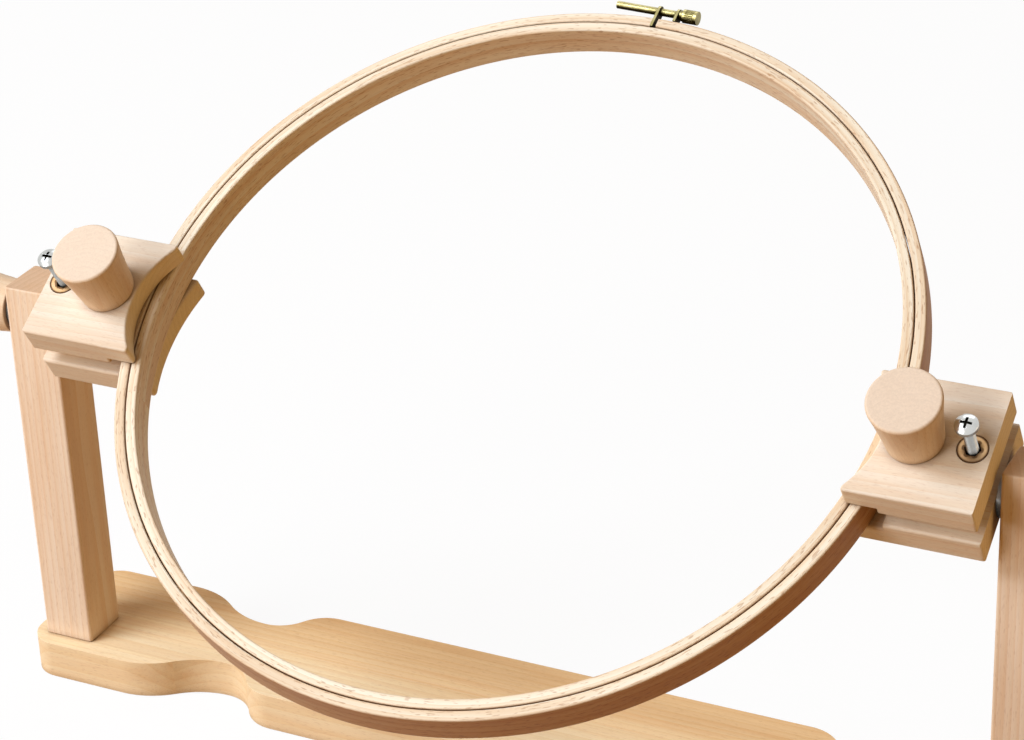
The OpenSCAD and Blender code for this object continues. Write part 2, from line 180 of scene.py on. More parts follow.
    # broad soft patches
    patches = addNode(tree, "TexNoise", {}, {
        "Vector": alongFibres, "Scale": scaleFor(figure["patchWidth"]), "Detail": 1.0}).outputs["Fac"]
    patchShade = addNode(tree, "MapRange", {}, {
        "Value": patches, "From Min": noiseLow, "From Max": noiseHigh,
        "To Min": figure["patchShade"][0], "To Max": figure["patchShade"][1]}).outputs[0]
    shaded = addNode(tree, "VectorMath", {"operation": "SCALE"}, {
        0: fibred, "Scale": patchShade}).outputs[0]
    if "staveTints" in look:        # from the front stave to the back one, as the board was glued up
        tints = look["staveTints"]
        boardPlace = addNode(tree, "MapRange", {}, {
            "Value": across, "From Min": look["staveEdge"] * mm,
            "From Max": (look["staveEdge"] + len(tints) * look["staveWidth"]) * mm,
            "To Min": 0.0, "To Max": 1.0}).outputs[0]
        inner = [(i / len(tints), tint) for i, tint in enumerate(tints[1:-1], 1)]
        staveTone = addNode(tree, "ValToRGB", {}, {0: boardPlace}, [
            (0.0, tints[0]), (1.0, tints[-1])] + inner)
        staveTone.color_ramp.interpolation = "B_SPLINE"
        shaded = addNode(tree, "Mix", multiply, {
            "Factor": 1.0, "A": shaded, "B": staveTone.outputs[0]}).outputs[2]
    if "wallTint" in look:      # the bent strip's walls are darker than its rims, the outer walls most
        wallDarkness = addNode(tree, "Attribute", {"attribute_name": "wallDarkness"}).outputs["Fac"]
        shaded = addNode(tree, "Mix", multiply, {
            "Factor": wallDarkness, "A": shaded, "B": hexToLinear(look["wallTint"])}).outputs[2]

    # sanded end grain hides most of the figure under its own tone, with faint year rings and pores in it;
    # the pores are drawn 0.8 mm wide, coarser than real ones, so that they show
    pores = addNode(tree, "TexNoise", {}, {
        "Vector": grain, "Scale": scaleFor(figure["poreWidth"]), "Detail": 1.0}).outputs["Fac"]
    poreShade = addNode(tree, "MapRange", {}, {
        "Value": pores, "From Min": figure["poreSpan"][0], "From Max": figure["poreSpan"][1],
        "To Min": figure["poreShade"][0], "To Max": figure["poreShade"][1]}).outputs[0]
    yearShade = addNode(tree, "MapRange", {}, {
        "Value": rings, "From Min": 0.0, "From Max": 1.0,
        "To Min": figure["earlyEndShade"], "To Max": look["lateEndShade"]}).outputs[0]
    endShade = addNode(tree, "Math", {"operation": "MULTIPLY"}, {0: poreShade, 1: yearShade}).outputs[0]
    endColour = addNode(tree, "VectorMath", {"operation": "SCALE"}, {
        0: hexToLinear(look["endTone"])[:3], "Scale": endShade}).outputs[0]
    endAmount = addNode(tree, "Math", {"operation": "MULTIPLY"}, {0: endFace, 1: look["endCover"]}).outputs[0]
    ended = addNode(tree, "Mix", blend, {"Factor": endAmount, "A": shaded, "B": endColour}).outputs[2]

    # handled edges are a little paler than the faces: partly wear, partly a painted highlight where the
    # rounded edges catch light
    normal = addNode(tree, "NewGeometry").outputs["Normal"]
    rounded = addNode(tree, "Bevel", {"samples": 4}, {"Radius": figure["edgeReach"] * mm}).outputs[0]
    likeness = addNode(tree, "VectorMath", {"operation": "DOT_PRODUCT"}, {
        0: normal, 1: rounded}).outputs["Value"]
    edge = addNode(tree, "MapRange", {}, {
        "Value": likeness, "From Min": figure["edgeSpan"][0], "From Max": figure["edgeSpan"][1],
        "To Min": 0.0, "To Max": look["edgeWearAndHighlight"]}).outputs[0]
    wornAndLit = addNode(tree, "Mix", blend, {
        "Factor": edge, "A": ended, "B": hexToLinear(look["edgeWearHighlightTone"])}).outputs[2]

    # painted shade: the colour darkens toward a brown tint where two pieces meet, found by ambient occlusion
    openness = addNode(tree, "AmbientOcclusion", {"samples": 6}, {
        "Distance": figure["creaseReach"] * mm}).outputs["AO"]
    shadeAmount = addNode(tree, "MapRange", {}, {
        "Value": openness, "From Min": figure["creaseSpan"][0], "From Max": figure["creaseSpan"][1],
        "To Min": look["creaseShade"], "To Max": 0.0}).outputs[0]
    colour = addNode(tree, "Mix", multiply, {
        "Factor": shadeAmount, "A": wornAndLit, "B": hexToLinear(look["creaseShadeTint"])}).outputs[2]

    ringHeight = addNode(tree, "Math", {"operation": "MULTIPLY"}, {
        0: rings, 1: figure["ringHeight"]}).outputs[0]
    height = addNode(tree, "Math", {"operation": "MULTIPLY_ADD"}, {
        0: fibres, 1: figure["fibreHeight"], 2: ringHeight}).outputs[0]
    bump = addNode(tree, "Bump", {}, {
        "Strength": figure["bump"], "Distance": figure["bumpDepth"] * mm, "Height": height}).outputs[0]
    faceRoughness = addNode(tree, "MapRange", {}, {
        "Value": fibres, "From Min": noiseLow, "From Max": noiseHigh,
        "To Min": look["roughness"] - figure["fibreRoughness"],
        "To Max": look["roughness"] + figure["fibreRoughness"]}).outputs[0]
    roughness = addNode(tree, "Math", {"operation": "MULTIPLY_ADD"}, {
        0: endFace, 1: figure["endRoughness"], 2: faceRoughness}).outputs[0]
    # open sanded fibres scatter most of the gloss that a closed varnish would have
    shader = addNode(tree, "BsdfPrincipled", {}, {
        "Base Color": colour, "Roughness": roughness, "IOR": 1.5, "Specular IOR Level": 0.15, "Normal": bump})
    addNode(tree, "OutputMaterial", {}, {"Surface": shader.outputs[0]})
    return material


# Sanded beech under a thin matt oil: an even cream ground with hardly any figure and very fine flecks.
# Widths, edges, the wander and the heart's place are in mm.
beechBase = {
    "earlyWood": "#F4E9D7", "midWood": "#F2E5D1", "lateWood": "#EFDEC6", "ringWidth": 3.2, "heart": (55, 70),
    "streakTint": "#F2DCC4", "streakStrength": 0.5, "wander": 9.0,
    "fleckTint": "#B98D63", "fleckStrength": 0.17, "fleckWidth": 0.4545,
    "endTone": "#FBE6B4", "endCover": 0.8, "lateEndShade": 0.93,
    # the crease tint and crease shade are painted shade where pieces meet
    # the edge tone and edge wear are partly wear and partly a painted highlight on rounded edges
    "edgeWearHighlightTone": "#F6E6CD", "edgeWearAndHighlight": 0.35, "creaseShadeTint": "#7A4E24", "creaseShade": 0.6,
    "staveWidth": 500, "staveEdge": -250, "roughness": 0.5}
beechJaw = makeBeech("sandedBeechJaw", {**beechBase, "heart": (30, 45)})
# The board is glued up from staves: tan at the back, cream at the front.
beechBoard = makeBeech("gluedBeechBoard", {
    **beechBase, "earlyWood": "#FEE9C4", "midWood": "#FCE5BE", "lateWood": "#F9DFB3",
    "ringWidth": 4.2, "heart": (20, 60), "staveWidth": 14, "staveEdge": -26,
    "endTone": "#E6C692", "endCover": 0.7, "lateEndShade": 0.86, "edgeWearHighlightTone": "#F5E0BC", "edgeWearAndHighlight": 0.1,
    "staveTints": ["#FFFFFC", "#FFFFFC", "#FFFFFC", "#FDF6EA", "#F3E3CE", "#EFDDC4"]})
# Planed square: a pinker ground than the board's, and brown end grain on top.
beechPost = makeBeech("planedBeechPost", {
    **beechBase, "earlyWood": "#F7E4CE", "midWood": "#F5E0C6", "lateWood": "#F0D6B8", "heart": (45, -30),
    "endTone": "#D3AC87", "endCover": 0.75, "edgeWearHighlightTone": "#F3DDBE"})
# Turned on a lathe, the end sanded flat: pinkish end grain, smooth tan side.
beechKnob = makeBeech("turnedBeech", {
    **beechBase, "earlyWood": "#F1DABC", "midWood": "#F0D8B9", "lateWood": "#ECD2B1",
    "ringWidth": 2.6, "heart": (22, 14),
    "endTone": "#EDDBC6", "endCover": 0.88, "lateEndShade": 0.99, "edgeWearHighlightTone": "#F3E0C6"})
# Strips bent to a ring: pale flecked rims, browner walls.
beechRing = makeBeech("steamBentBeech", {
    **beechBase, "earlyWood": "#FDF6E2", "midWood": "#FBEFD6", "lateWood": "#F3E0C2",
    "ringWidth": 2.2, "heart": (40, 25), "streakTint": "#E4C4A2", "streakStrength": 0.6,
    "fleckStrength": 0.5, "fleckWidth": 0.5882, "wallTint": "#BE9058"})

# What all the metals share, in mm of the object's own space.
metalWear = {"scratchWidth": 1.111, "bump": 0.05, "bumpDepth": 0.02, "noiseSpan": (0.3, 0.7),
             "dullRoughness": 0.06, "brightRoughness": -0.03, "tarnishRoughness": 0.35}


def makeMetal(name, look):
    material, tree = newMaterial(name)
    place = addNode(tree, "TexCoord").outputs["Object"]
    noiseLow, noiseHigh = metalWear["noiseSpan"]
    clouds = addNode(tree, "TexNoise", {}, {
        "Vector": place, "Scale": scaleFor(look["cloudWidth"]),
        "Detail": 4.0, "Roughness": 0.65}).outputs["Fac"]
    tone = addNode(tree, "ValToRGB", {}, {0: clouds}, [
        (noiseLow, look["dull"]), (noiseHigh, look["bright"])]).outputs[0]
    # scratches from handling, crossing at random; a millimetre apart, coarser than real ones, to show
    scratches = addNode(tree, "TexNoise", {"noise_type": "RIDGED_MULTIFRACTAL"}, {
        "Vector": place, "Scale": scaleFor(metalWear["scratchWidth"]), "Detail": 3.0}).outputs["Fac"]
    # painted shade, with some tarnish: a dark tint laid on by ambient occlusion in threads, corners,
    # undersides and round the seats
    openness = addNode(tree, "AmbientOcclusion", {"samples": 8}, {
        "Distance": look["reach"] * mm}).outputs["AO"]
    occlusionShade = addNode(tree, "MapRange", {}, {
        "Value": openness, "From Min": look["shut"], "From Max": 1.0,
        "To Min": look["tarnishAndShade"], "To Max": 0.0}).outputs[0]
    # and the mesh itself carries painted shade, on a flange's rim and mouth, in a driver's cross and on a
    # screw head's side
    paintedShade = addNode(tree, "Attribute", {"attribute_name": "paintedShade"}).outputs["Fac"]
    tarnishAndShade = addNode(tree, "Math", {"operation": "MAXIMUM"}, {0: occlusionShade, 1: paintedShade}).outputs[0]
    colour = addNode(tree, "Mix", multiply, {
        "Factor": tarnishAndShade, "A": tone, "B": hexToLinear(look["tarnishShadeTint"])}).outputs[2]
    cleanRoughness = addNode(tree, "MapRange", {}, {
        "Value": clouds, "From Min": noiseLow, "From Max": noiseHigh,
        "To Min": look["roughness"] + metalWear["dullRoughness"],
        "To Max": look["roughness"] + metalWear["brightRoughness"]}).outputs[0]
    roughness = addNode(tree, "Math", {"operation": "MULTIPLY_ADD"}, {
        0: tarnishAndShade, 1: metalWear["tarnishRoughness"], 2: cleanRoughness}).outputs[0]
    bump = addNode(tree, "Bump", {}, {
        "Strength": metalWear["bump"], "Distance": metalWear["bumpDepth"] * mm,
        "Height": scratches}).outputs[0]
    shader = addNode(tree, "BsdfPrincipled", {}, {
        "Base Color": colour, "Metallic": 1.0, "Roughness": roughness, "Normal": bump})
    addNode(tree, "OutputMaterial", {}, {"Surface": shader.outputs[0]})
    return material


# Bright zinc plate on steel: cool silver with soft clouds, painted nearly black as shade in recesses and
# threads.
zincPlate = makeMetal("brightZincPlate", {
    "bright": "#D3D3D0", "dull": "#BEBFBC", "tarnishShadeTint": "#35322A", "tarnishAndShade": 0.97,
    "roughness": 0.2, "cloudWidth": 6.25, "reach": 5, "shut": 0.45})
# Brass left bare: pale straw where it is handled, with dark olive painted shade in the corners and
# undersides.
bareBrass = makeMetal("bareBrass", {
    "bright": "#C9BF8C", "dull": "#A0945A", "tarnishShadeTint": "#3F3412", "tarnishAndShade": 1.0,
    "roughness": 0.3, "cloudWidth": 5, "reach": 14, "shut": 0.6})
# The flanges pressed into the jaws have worn to a tan that is close to the wood's.
# Round its seat the flange takes painted shade from ambient occlusion.
wornBrass = makeMetal("wornBrass", {
    "bright": "#D9B58C", "dull": "#C09866", "tarnishShadeTint": "#4A2D10", "tarnishAndShade": 0.95,
    "roughness": 0.34, "cloudWidth": 4.167, "reach": 2, "shut": 0.45})
print("materials made")


# Mesh helpers; welds and widths are in mm, angles in degrees
softening = {"weld": 0.002, "flatAngle": 0.5, "edgeAngle": 30, "fineSegments": 2}
metalSegments = 2       # steps round a piece of metal's softened edges


def storeGrain(mesh, toGrain, alongAt):
    # both layers are made first, because adding one moves the other in memory
    mesh.attributes.new("grain", "FLOAT_VECTOR", "CORNER")
    mesh.attributes.new("endFace", "FLOAT", "CORNER")
    grainLayer, endLayer = mesh.attributes["grain"], mesh.attributes["endFace"]
    for polygon in mesh.polygons:
        # cubed, so that only what nearly squares off the fibres counts as end grain
        end = abs(polygon.normal.dot(alongAt(polygon.center))) ** 3
        for corner in polygon.loop_indices:
            point = mesh.vertices[mesh.loops[corner].vertex_index].co
            grainLayer.data[corner].vector = toGrain(point, polygon.center)
            endLayer.data[corner].value = end


def straightGrain(mesh, axis, start, local=Matrix.Identity(4)):
    # grain along one axis of a local frame; start shifts the piece inside its tree, in metres
    inverse = local.inverted()
    order = {"x": (0, 1, 2), "z": (2, 0, 1)}[axis]
    direction = local.to_3x3() @ Vector([1.0 if i == order[0] else 0.0 for i in range(3)])

    def toGrain(point, centre):
        p = inverse @ point
        return [p[order[0]] + start[0], p[order[1]] + start[1], p[order[2]] + start[2]]
    storeGrain(mesh, toGrain, lambda centre: direction)


def startFor(piece, sign):
    # left and right pieces come from different places in the tree
    return [start + sign * step for start, step in zip(piece["start"], piece["startStep"])]


def softenEdges(bm, width, segments, isFine, fineWidth):
    # rounds the outward edges; those that isFine picks, round holes, get the smaller width
    bm.normal_update()
    leastAngle = math.radians(softening["edgeAngle"])
    main, fine = [], []
    for edge in bm.edges:
        if len(edge.link_faces) == 2 and edge.calc_face_angle_signed(0) > leastAngle:
            middle = (edge.verts[0].co + edge.verts[1].co) / 2
            (fine if isFine and isFine(middle) else main).append(edge)
    if main:
        bmesh.ops.bevel(bm, geom=main, offset=width, offset_type="OFFSET", segments=segments, profile=0.5,
                        affect="EDGES", clamp_overlap=True)
    if fine:
        fine = [edge for edge in fine if edge.is_valid]
        bmesh.ops.bevel(bm, geom=fine, offset=fineWidth, offset_type="OFFSET",
                        segments=softening["fineSegments"], profile=0.5, affect="EDGES", clamp_overlap=True)


def softenedCopy(node, width, segments, isFine=None, fineWidth=0):
    bm = bmesh.new()
    bm.from_mesh(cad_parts[node].data)
    bmesh.ops.remove_doubles(bm, verts=bm.verts, dist=softening["weld"] * mm)
    bmesh.ops.dissolve_limit(bm, angle_limit=math.radians(softening["flatAngle"]),
                             verts=bm.verts, edges=bm.edges)
    softenEdges(bm, width, segments, isFine, fineWidth)
    mesh = bpy.data.meshes.new(node)
    bm.to_mesh(mesh)
    bm.free()
    return mesh


def finishPiece(mesh, name, body, material, replaced, smoothAngle=40):
    for polygon in mesh.polygons:
        polygon.use_smooth = True
    mesh.set_sharp_from_angle(angle=math.radians(smoothAngle))
    mesh.materials.clear()
    mesh.materials.append(material)
    piece = bpy.data.objects.new(name, mesh)
    bpy.context.scene.collection.objects.link(piece)
    weighted = piece.modifiers.new("evenShading", "WEIGHTED_NORMAL")
    weighted.keep_sharp = True
    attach(piece, body)
    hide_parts(*replaced)


def lathe(profile, segments, name):
    # profile of (radius, height) in metres turned round z; a radius of 0 closes an end
    bm = bmesh.new()
    rows = []
    for radius, height in profile:
        if radius == 0:
            rows.append([bm.verts.new((0, 0, height))])
        else:
            rows.append([bm.verts.new((radius * math.cos(2 * math.pi * k / segments),
                                       radius * math.sin(2 * math.pi * k / segments), height))
                         for k in range(segments)])
    for low, high in zip(rows, rows[1:]):
        for k in range(segments):
            n = (k + 1) % segments
            if len(low) == 1:
                bm.faces.new((low[0], high[n], high[k]))
            elif len(high) == 1:
                bm.faces.new((low[k], low[n], high[0]))
            else:
                bm.faces.new((low[k], low[n], high[n], high[k]))
    bmesh.ops.recalc_face_normals(bm, faces=bm.faces)
    mesh = bpy.data.meshes.new(name)
    bm.to_mesh(mesh)
    bm.free()
    return mesh


def addThread(bm, radius, depth, pitch, low, high, segments=20, stepsPerTurn=6):
    # a helical thread along z from low to high, its crests at radius; both ends closed
    count = max(2, int((high - low) / pitch * stepsPerTurn))
    rows = []
    for j in range(count + 1):
        z = low + (high - low) * j / count
        runOut = max(0.0, min(1.0, (z - low) / pitch, (high - z) / pitch))
        row = []
        for k in range(segments):
            turn = k / segments
            phase = (z / pitch - turn) % 1.0
            r = radius - depth * (1 - abs(2 * phase - 1)) * runOut
            row.append(bm.verts.new((r * math.cos(2 * math.pi * turn), r * math.sin(2 * math.pi * turn), z)))
        rows.append(row)
    for a, b in zip(rows, rows[1:]):
        for k in range(segments):
            n = (k + 1) % segments
            bm.faces.new((a[k], a[n], b[n], b[k]))
    bm.faces.new(list(reversed(rows[0])))
    bm.faces.new(rows[-1])


def threadedCopy(node, softness, place, isShank, thread, paintedShadeAt=None):
    # the node with soft edges, its plain shank swapped for a real thread; place is the screw's own frame
    mesh = softenedCopy(node, softness, metalSegments)
    bm = bmesh.new()
    bm.from_mesh(mesh)
    bm.transform(place.inverted())
    bmesh.ops.delete(bm, geom=[f for f in bm.faces if isShank(f.calc_center_median().z)], context="FACES")
    addThread(bm, thread["radius"] * mm, thread["depth"] * mm, thread["pitch"] * mm,
              thread["from"] * mm, thread["to"] * mm)
    bm.to_mesh(mesh)
    bm.free()
    if paintedShadeAt:        # how much painted shade each face carries of itself
        paintedShade = mesh.attributes.new("paintedShade", "FLOAT", "FACE")
        for polygon, face in zip(mesh.polygons, paintedShade.data):
            face.value = paintedShadeAt(polygon.center, polygon.normal)
    mesh.transform(place)
    return mesh


# the screw holes underneath lie further out than screwsFrom and nearer the middle line than screwsReach
board = {"edgeRound": 2.2, "segments": 4, "screwsFrom": 215, "screwsReach": 12.5, "holeRound": 0.3,
         "start": (0.3, 0.0, 0.0)}
mesh = softenedCopy(
    "base_board", board["edgeRound"] * mm, board["segments"],
    lambda p: abs(p.x) > board["screwsFrom"] * mm and abs(p.y) < board["screwsReach"] * mm,
    board["holeRound"] * mm)
straightGrain(mesh, "x", board["start"])
finishPiece(mesh, "baseBoard", "stand", beechBoard, ["base_board"])
print("board done")

# boreReach is up and down from the pivot; the screws from below end under screwsTop
post = {"edgeRound": 1.2, "segments": 3, "boreReach": 5, "screwsTop": 64, "screwsReach": 9.5,
        "holeRound": 0.3, "start": (0.7, 0.02, 0.0), "startStep": (0.3, 0.0, 0.03)}


def nearPostHole(p):
    inBore = abs(p.z - stand["pivotHeight"] * mm) < post["boreReach"] * mm
    return inBore or (p.z < post["screwsTop"] * mm and abs(p.y) < post["screwsReach"] * mm)


for side, sign in sides.items():
    mesh = softenedCopy("post_" + side, post["edgeRound"] * mm, post["segments"], nearPostHole,
                        post["holeRound"] * mm)
    straightGrain(mesh, "z", startFor(post, sign))
    finishPiece(mesh, "post." + side, "stand", beechPost, ["post_" + side])
print("posts done")

# knobAxis and levelAxis say how far from the middle those screws stand; the pivot's hole lies in a lower
# jaw's outer end, beyond pivotFrom
jaw = {"edgeRound": 1.4, "segments": 3, "holeRound": 0.25, "thickness": 14, "rebate": 3.3, "play": 0.1,
       "knobAxis": 184.4, "levelAxis": 207.7, "boreReach": 8.5, "pivotFrom": 215.5, "pivotReach": 6,
       "lower": {"start": (0.37, 0.0, 0.02), "startStep": (0.5, 0.01, 0.0)},
       "upper": {"start": (0.11, 0.0, 0.02), "startStep": (0.5, 0.01, 0.0)}}


def nearJawBore(p, level):
    # the round holes on both axes, and the pivot's
    q = clampFrame.inverted() @ p
    atOuterEnd = level == "lower" and abs(q.x) > jaw["pivotFrom"] * mm
    if atOuterEnd and math.hypot(q.y, q.z) < jaw["pivotReach"] * mm:
        return True
    return any(math.hypot(abs(q.x) - jaw[axis] * mm, q.y) < jaw["boreReach"] * mm
               for axis in ("knobAxis", "levelAxis"))


for side, sign in sides.items():
    for level in ("lower", "upper"):
        node = level + "_jaw_" + side
        mesh = softenedCopy(node, jaw["edgeRound"] * mm, jaw["segments"],
                            lambda p: nearJawBore(p, level), jaw["holeRound"] * mm)
        straightGrain(mesh, "x", startFor(jaw[level], sign), clampFrame)
        body = side + ("_upper" if level == "upper" else "_clamp")
        finishPiece(mesh, level + "Jaw." + side, body, beechJaw, [node])
print("jaws done")

knob = {"endRadius": 15.2, "baseRadius": 12.0, "length": 28.4, "endRound": 1.3, "baseRound": 0.6,
        "sleeveRadius": 4.45, "sleeveDepth": 15.05, "boltRadius": 3.3, "boltDepth": 18.3, "mouthRound": 0.3,
        "sideHollow": 0.25, "lift": 0.1, "smoothAngle": 35, "segments": 72,
        "baseSteps": 3, "sideSteps": 12, "endSteps": 6, "endRows": (0.8, 0.55, 0.3),
        "clamp": {"start": (0.2, 0.004, 0.002), "startStep": (0.1, 0.0, 0.0)},
        "pivot": {"start": (0.6, 0.003, 0.004), "startStep": (0.1, 0.0, 0.0)}}


def knobProfile():
    # up the blind hole for bolt and sleeve, over the base, along the hollow side and across the flat end
    points = [(0, knob["boltDepth"]), (knob["boltRadius"], knob["boltDepth"]),
              (knob["boltRadius"], knob["sleeveDepth"]), (knob["sleeveRadius"], knob["sleeveDepth"]),
              (knob["sleeveRadius"], knob["mouthRound"]), (knob["sleeveRadius"] + knob["mouthRound"], 0)]
    for i in range(knob["baseSteps"] + 1):
        t = math.pi / 2 * i / knob["baseSteps"]
        points.append((knob["baseRadius"] - knob["baseRound"] * (1 - math.sin(t)),
                       knob["baseRound"] * (1 - math.cos(t))))
    sideLength = knob["length"] - knob["endRound"] - knob["baseRound"]
    for i in range(1, knob["sideSteps"]):
        t = i / knob["sideSteps"]
        cone = knob["baseRadius"] + (knob["endRadius"] - knob["baseRadius"]) * t
        points.append((cone - knob["sideHollow"] * math.sin(math.pi * t), knob["baseRound"] + sideLength * t))
    for i in range(knob["endSteps"] + 1):
        t = math.pi / 2 * i / knob["endSteps"]
        points.append((knob["endRadius"] - knob["endRound"] * (1 - math.cos(t)),
                       knob["length"] - knob["endRound"] * (1 - math.sin(t))))
    points += [(knob["endRadius"] * share, knob["length"]) for share in knob["endRows"]]
    points.append((0, knob["length"]))
    return [(radius * mm, height * mm) for radius, height in points]


def addKnob(name, node, place, body, start):
    mesh = lathe(knobProfile(), knob["segments"], name)
    mesh.transform(place)
    straightGrain(mesh, "z", start, place)
    finishPiece(mesh, name, body, beechKnob, [node], knob["smoothAngle"])


# mm above the pivot axis: the rings lie in the jaws' rebates
upperTop = stand["hoopBottom"] + stand["hoopHeight"] + jaw["play"] - jaw["rebate"] + jaw["thickness"]
for side, sign in sides.items():
    place = clampFrame @ Matrix.Translation((sign * jaw["knobAxis"] * mm, 0, (upperTop + knob["lift"]) * mm))
    addKnob("clampKnob." + side, "clamp_knob_" + side, place, side + "_clamp_knob",
            startFor(knob["clamp"], sign))
    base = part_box("pivot_knob_" + side)[0 if sign < 0 else 1].x - sign * knob["length"] * mm
    place = clampFrame @ Matrix.Translation((base, 0, 0)) @ Matrix.Rotation(sign * math.pi / 2, 4, "Y")
    addKnob("pivotKnob." + side, "pivot_knob_" + side, place, side + "_pivot_knob",
            startFor(knob["pivot"], sign))
print("knobs done")

bolt = {"softness": 0.3, "radius": 3.0, "depth": 0.55, "pitch": 1.0, "from": -4.1, "to": 48.4,
        "headTop": -3.6}
# the levelling screw's depths are under its head's top; a face that looks up less than crossWall or sideWall
# counts as a wall of its cross or its head
levelScrew = {"softness": 0.22, "radius": 2.5, "depth": 0.45, "pitch": 0.8, "from": 7.1, "to": 47.4,
              "headBottom": 47.1, "headHeight": 3.3, "crossRadius": 2.6, "crossDepth": 1.7, "domeDepth": 0.9,
              "crossWall": 0.9, "sideDepth": 3.4, "sideWall": 0.6, "sideShade": 0.5}
cutSlack = 0.02     # mm that a shank's cut stays clear of its head


def levelScrewShade(centre, normal):
    # painted shade: the driver's cross is painted dark, the head's side a little of it
    top = (levelScrew["headBottom"] + levelScrew["headHeight"]) * mm
    inCross = (math.hypot(centre.x, centre.y) < levelScrew["crossRadius"] * mm
               and centre.z > top - levelScrew["crossDepth"] * mm)
    if inCross and (normal.z < levelScrew["crossWall"] or centre.z < top - levelScrew["domeDepth"] * mm):
        return 1.0
    isSide = normal.z < levelScrew["sideWall"] and centre.z > top - levelScrew["sideDepth"] * mm
    return levelScrew["sideShade"] if isSide else 0.0


for side, sign in sides.items():
    place = clampFrame @ Matrix.Translation((sign * jaw["knobAxis"] * mm, 0, 0))
    mesh = threadedCopy("clamp_bolt_" + side, bolt["softness"] * mm, place,
                        lambda z: z > (bolt["headTop"] + cutSlack) * mm, bolt)
    finishPiece(mesh, "clampBolt." + side, side + "_clamp", zincPlate, ["clamp_bolt_" + side])
    place = clampFrame @ Matrix.Translation((sign * jaw["levelAxis"] * mm, 0, 0))
    mesh = threadedCopy("level_screw_" + side, levelScrew["softness"] * mm, place,
                        lambda z: z < (levelScrew["headBottom"] - cutSlack) * mm,
                        levelScrew, levelScrewShade)
    finishPiece(mesh, "levelScrew." + side, side + "_level", zincPlate, ["level_screw_" + side])
print("bolts and screws done")

# the slit runs from slitFrom to slitTo, in mm along the rim past the closing screw's angle; the wall
# darknesses say how dark the walls are, innerStart is in degrees and innerCut in metres
ring = {"outerRadius": 175, "thickness": 4.7, "gap": 0.4, "edgeRound": 0.9, "closingAngle": 87.1,
        "slitFrom": 2.4, "slitTo": 5.2, "outerWallDarkness": 0.9, "innerWallDarkness": 0.1,
        "innerStart": 200, "innerCut": 1.7, "steps": 360, "cornerSteps": 4}


def ringSection(inner, outer, height, edgeRound):
    points = []
    corners = [(outer - edgeRound, edgeRound, -90), (outer - edgeRound, height - edgeRound, 0),
               (inner + edgeRound, height - edgeRound, 90), (inner + edgeRound, edgeRound, 180)]
    for x, z, startAngle in corners:
        for i in range(ring["cornerSteps"] + 1):
            t = math.radians(startAngle + 90 * i / ring["cornerSteps"])
            points.append((x + edgeRound * math.cos(t), z + edgeRound * math.sin(t)))
    return points


def addRing(name, node, body, outer, startAngle, sweep, grainStart):
    section = ringSection(outer - ring["thickness"], outer, stand["hoopHeight"], ring["edgeRound"])
    steps = ring["steps"]
    closed = sweep >= 360
    bm = bmesh.new()
    rows = []
    for j in range(steps if closed else steps + 1):
        angle = math.radians(startAngle + sweep * j / steps)
        rows.append([bm.verts.new((r * mm * math.cos(angle), r * mm * math.sin(angle), z * mm))
                     for r, z in section])
    pairs = list(zip(rows, rows[1:])) + ([(rows[-1], rows[0])] if closed else [])
    count = len(section)
    for a, b in pairs:
        for k in range(count):
            n = (k + 1) % count
            bm.faces.new((a[k], a[n], b[n], b[k]))
    if not closed:
        bm.faces.new(rows[0])
        bm.faces.new(list(reversed(rows[-1])))
    bmesh.ops.recalc_face_normals(bm, faces=bm.faces)
    mesh = bpy.data.meshes.new(name)
    bm.to_mesh(mesh)
    bm.free()

    def toGrain(point, centre):     # the strip laid out straight again
        middle = (math.atan2(centre.y, centre.x) - math.radians(startAngle)) % (2 * math.pi)
        turn = (math.atan2(point.y, point.x) - math.radians(startAngle)) % (2 * math.pi)
        if turn - middle > math.pi:
            turn -= 2 * math.pi
        elif middle - turn > math.pi:
            turn += 2 * math.pi
        return [turn * outer * mm + grainStart, math.hypot(point.x, point.y) - outer * mm, point.z]
    storeGrain(mesh, toGrain, lambda c: Vector((-c.y, c.x, 0)).normalized())
    # upright faces are darker than the rims, the outer walls most
    wallDarkness = mesh.attributes.new("wallDarkness", "FLOAT", "CORNER")
    for polygon in mesh.polygons:
        wall = 1 - abs(polygon.normal.z)
        outside = polygon.normal.x * polygon.center.x + polygon.normal.y * polygon.center.y > 0
        for corner in polygon.loop_indices:
            wallDarkness.data[corner].value = wall * (ring["outerWallDarkness"] if outside else ring["innerWallDarkness"])
    mesh.transform(hoopFrame)
    finishPiece(mesh, name, body, beechRing, [node])


degreesPerMm = math.degrees(1 / ring["outerRadius"])
addRing("outerRing", "outer_ring", "hoop", ring["outerRadius"],
        ring["closingAngle"] + ring["slitTo"] * degreesPerMm,
        360 - (ring["slitTo"] - ring["slitFrom"]) * degreesPerMm, 0.0)
addRing("innerRing", "inner_ring", "inner_hoop", ring["outerRadius"] - ring["thickness"] - ring["gap"],
        ring["innerStart"], 360, ring["innerCut"])
print("rings done")

lug = {"softness": 0.18, "smoothAngle": 45}
for node, name in (("threaded_lug", "threadedLug"), ("plain_lug", "plainLug"), ("lug_rivets", "lugRivets")):
    mesh = softenedCopy(node, lug["softness"] * mm, metalSegments)
    finishPiece(mesh, name, "hoop", bareBrass, [node], lug["smoothAngle"])

